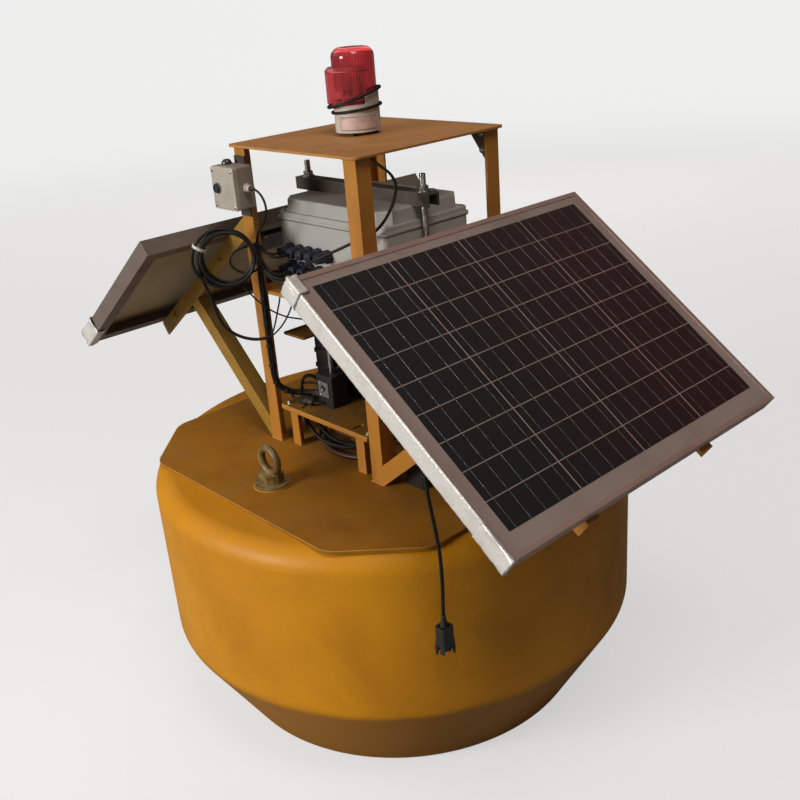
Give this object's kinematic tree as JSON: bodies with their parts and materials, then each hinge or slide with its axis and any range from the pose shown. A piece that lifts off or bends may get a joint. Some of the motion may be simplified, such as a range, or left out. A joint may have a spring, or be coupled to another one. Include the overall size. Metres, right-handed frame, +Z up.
{
  "type": "water quality monitoring buoy",
  "caption": "Moored water quality buoy: foam float with an instrument well, deck, angle-iron tower with equipment box, warning beacon and tilted solar panels.",
  "frame": {"origin": "centre of the instrument well's mouth in the hull's flat bottom", "axes": "+Z up along the instrument well; the front panel faces -Y, the rear panel faces +Y, the enclosure's cable glands face -X"},
  "size_m": [0.91, 1.1508, 1.204],
  "materials": {
    "hull_foam": "satin",
    "well_steel": "satin",
    "deck_paint": "satin",
    "eye_paint": "satin",
    "tower_paint": "satin",
    "dark_steel": "satin",
    "enclosure_grey": "satin",
    "rod_steel": "satin",
    "cap_grey": "matte",
    "gland_black": "matte",
    "light_plastic": "satin",
    "cell_lens": "gloss",
    "black_rubber": "matte",
    "red_lens": "gloss",
    "reflector_chrome": "polished",
    "lamp_glass": "gloss",
    "module_black": "satin",
    "cord_black": "satin",
    "hose_maroon": "satin",
    "frame_aluminium": "satin",
    "solar_cells": "gloss"
  },
  "bodies": {
    "buoy": {"hull_float": "hull_foam", "well_tube": "well_steel", "deck_plate": "deck_paint", "eye_bolt_left": "eye_paint", "eye_bolt_right": "eye_paint", "tower_leg_front": "tower_paint", "tower_leg_left": "tower_paint", "tower_leg_right": "tower_paint", "tower_leg_back": "tower_paint", "top_plate": "tower_paint", "corner_gussets": "dark_steel", "mid_shelf": "tower_paint", "shelf_bearers": "tower_paint", "instrument_shelf": "tower_paint", "instrument_shelf_legs": "tower_paint", "enclosure_base": "enclosure_grey", "enclosure_lid": "enclosure_grey", "clamp_bar": "dark_steel", "clamp_rods": "rod_steel", "vent_cap": "cap_grey", "cable_glands": "gland_black", "switch_bracket": "dark_steel", "switch_box_body": "light_plastic", "switch_box_cover": "light_plastic", "switch_knob": "gland_black", "switch_gland": "light_plastic", "light_cell": "cell_lens", "beacon_base": "light_plastic", "beacon_feet": "black_rubber", "beacon_dome": "red_lens", "beacon_lamp": "lamp_glass", "logger_module": "module_black", "logger_face": "light_plastic", "probe_rod": "rod_steel", "sample_pump": "module_black", "filter_bowl": "module_black", "device_case": "module_black", "device_plate": "tower_paint", "deck_box": "module_black", "panel_lead": "cord_black", "panel_connector": "module_black", "beacon_lead": "cord_black", "beacon_lead_turns": "cord_black", "switch_lead": "cord_black", "leg_cable_bundle": "cord_black", "cable_coil": "cord_black", "sensor_cable": "cord_black", "sample_hose": "hose_maroon", "hose_fittings": "dark_steel", "front_panel_frame": "frame_aluminium", "front_panel_laminate": "solar_cells", "front_junction_box": "module_black", "front_panel_rails": "tower_paint", "front_panel_struts": "tower_paint", "rear_panel_frame": "frame_aluminium", "rear_panel_laminate": "solar_cells", "rear_junction_box": "module_black", "rear_panel_rails": "tower_paint", "rear_panel_struts": "tower_paint"},
    "reflector": {"beacon_reflector": "reflector_chrome"}
  },
  "joints": [
    {"name": "reflector_spin", "type": "hinge", "parent": "buoy", "child": "reflector", "pos_m": [0.005, 0.02, 1.1225], "axis": [0, 0, 1], "continuous": true}
  ]
}
